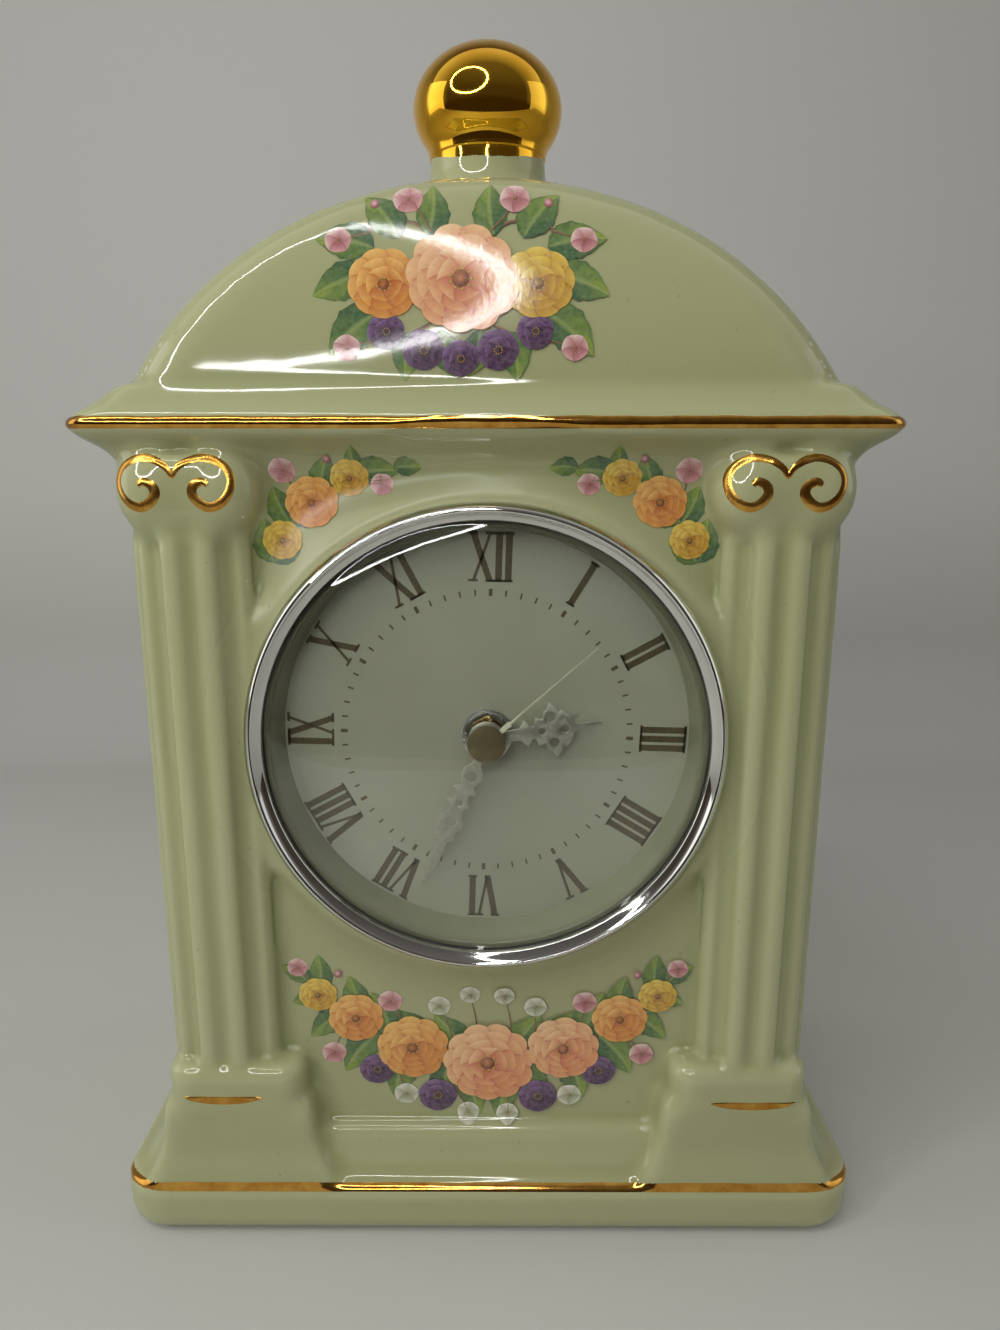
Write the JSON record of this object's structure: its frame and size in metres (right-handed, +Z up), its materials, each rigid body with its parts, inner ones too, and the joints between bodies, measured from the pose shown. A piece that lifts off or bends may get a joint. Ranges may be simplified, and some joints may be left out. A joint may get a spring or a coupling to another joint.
{
  "type": "porcelain mantel clock",
  "caption": "Glazed porcelain mantel clock with a temple front of fluted columns, an arched top and ball finial, holding a round press-in quartz insert.",
  "frame": {"origin": "on the table, under the middle of the base", "axes": "+Z up, the dial faces -Y, +X to the viewer's right"},
  "size_m": [0.15, 0.08, 0.2302],
  "materials": {
    "glaze": "gloss",
    "gilt": "polished",
    "chrome": "polished",
    "lens": "gloss",
    "ring_grey": "satin",
    "dial_cream": "satin",
    "cup_black": "satin",
    "gasket_rubber": "matte",
    "movement_black": "satin",
    "bush_brass": "satin",
    "steel": "satin",
    "bridge_plastic": "satin",
    "copper": "satin",
    "board_green": "satin",
    "chip_black": "satin",
    "battery_sleeve": "satin",
    "magnet": "satin",
    "acetal": "satin",
    "knob_black": "satin",
    "tube_brass": "satin",
    "silver": "satin",
    "second_silver": "polished"
  },
  "bodies": {
    "case": {"porcelain_case": "glaze", "finial_ball": "gilt"},
    "insert": {"bezel": "chrome", "lens": "lens", "dial_ring": "ring_grey", "dial": "dial_cream", "insert_cup": "cup_black", "gasket": "gasket_rubber", "movement_front_case": "movement_black", "movement_back_case": "movement_black", "centre_bush": "bush_brass", "dial_washer": "steel", "hand_nut": "bush_brass", "train_bridge": "bridge_plastic", "contact_positive": "steel", "contact_negative": "steel", "stator": "steel", "coil_winding": "copper", "coil_bobbin": "bridge_plastic", "circuit_board": "board_green", "chip": "chip_black", "quartz_crystal": "steel"},
    "battery": {"battery": "battery_sleeve"},
    "second": {"second_wheel": "acetal", "second_hand": "second_silver"},
    "third": {"third_wheel": "acetal"},
    "centre": {"centre_wheel": "acetal"},
    "fifth": {"fifth_wheel": "acetal"},
    "rotor": {"rotor_pinion": "acetal", "rotor_magnet": "magnet"},
    "minute": {"cannon_pinion": "tube_brass", "minute_hand": "silver"},
    "reverse": {"reverse_wheel": "acetal", "set_knob": "knob_black"},
    "hour": {"hour_wheel": "acetal", "hour_hand": "silver"}
  },
  "joints": [
    {"name": "insert_pull", "type": "slide", "parent": "case", "child": "insert", "axis": [0, -1, 0], "range_m": [0, 0.035]},
    {"name": "battery_slide", "type": "slide", "parent": "insert", "child": "battery", "axis": [0, 1, 0], "range_m": [0, 0.02]},
    {"name": "second_spin", "type": "hinge", "parent": "insert", "child": "second", "pos_m": [0, -0.035, 0.1025], "axis": [0, 1, 0], "continuous": true},
    {"name": "third_spin", "type": "hinge", "parent": "insert", "child": "third", "pos_m": [-0.0076, -0.035, 0.1025], "axis": [0, 1, 0], "continuous": true},
    {"name": "centre_spin", "type": "hinge", "parent": "insert", "child": "centre", "pos_m": [0, -0.035, 0.1025], "axis": [0, 1, 0], "continuous": true},
    {"name": "fifth_spin", "type": "hinge", "parent": "insert", "child": "fifth", "pos_m": [0, -0.035, 0.10789], "axis": [0, 1, 0], "continuous": true},
    {"name": "rotor_spin", "type": "hinge", "parent": "insert", "child": "rotor", "pos_m": [0, -0.035, 0.11291], "axis": [0, 1, 0], "continuous": true},
    {"name": "minute_spin", "type": "hinge", "parent": "insert", "child": "minute", "pos_m": [0, -0.035, 0.1025], "axis": [0, 1, 0], "continuous": true},
    {"name": "reverse_spin", "type": "hinge", "parent": "insert", "child": "reverse", "pos_m": [0.00789, -0.035, 0.10537], "axis": [0, 1, 0], "continuous": true},
    {"name": "hour_spin", "type": "hinge", "parent": "insert", "child": "hour", "pos_m": [0, -0.035, 0.1025], "axis": [0, 1, 0], "continuous": true}
  ],
  "couplings": [
    {"joint": "third_spin", "follows": "second_spin", "ratio": -0.13333},
    {"joint": "centre_spin", "follows": "second_spin", "ratio": 0.016667},
    {"joint": "fifth_spin", "follows": "second_spin", "ratio": -5},
    {"joint": "rotor_spin", "follows": "second_spin", "ratio": 30},
    {"joint": "reverse_spin", "follows": "minute_spin", "ratio": -0.33333},
    {"joint": "hour_spin", "follows": "minute_spin", "ratio": 0.083333}
  ]
}
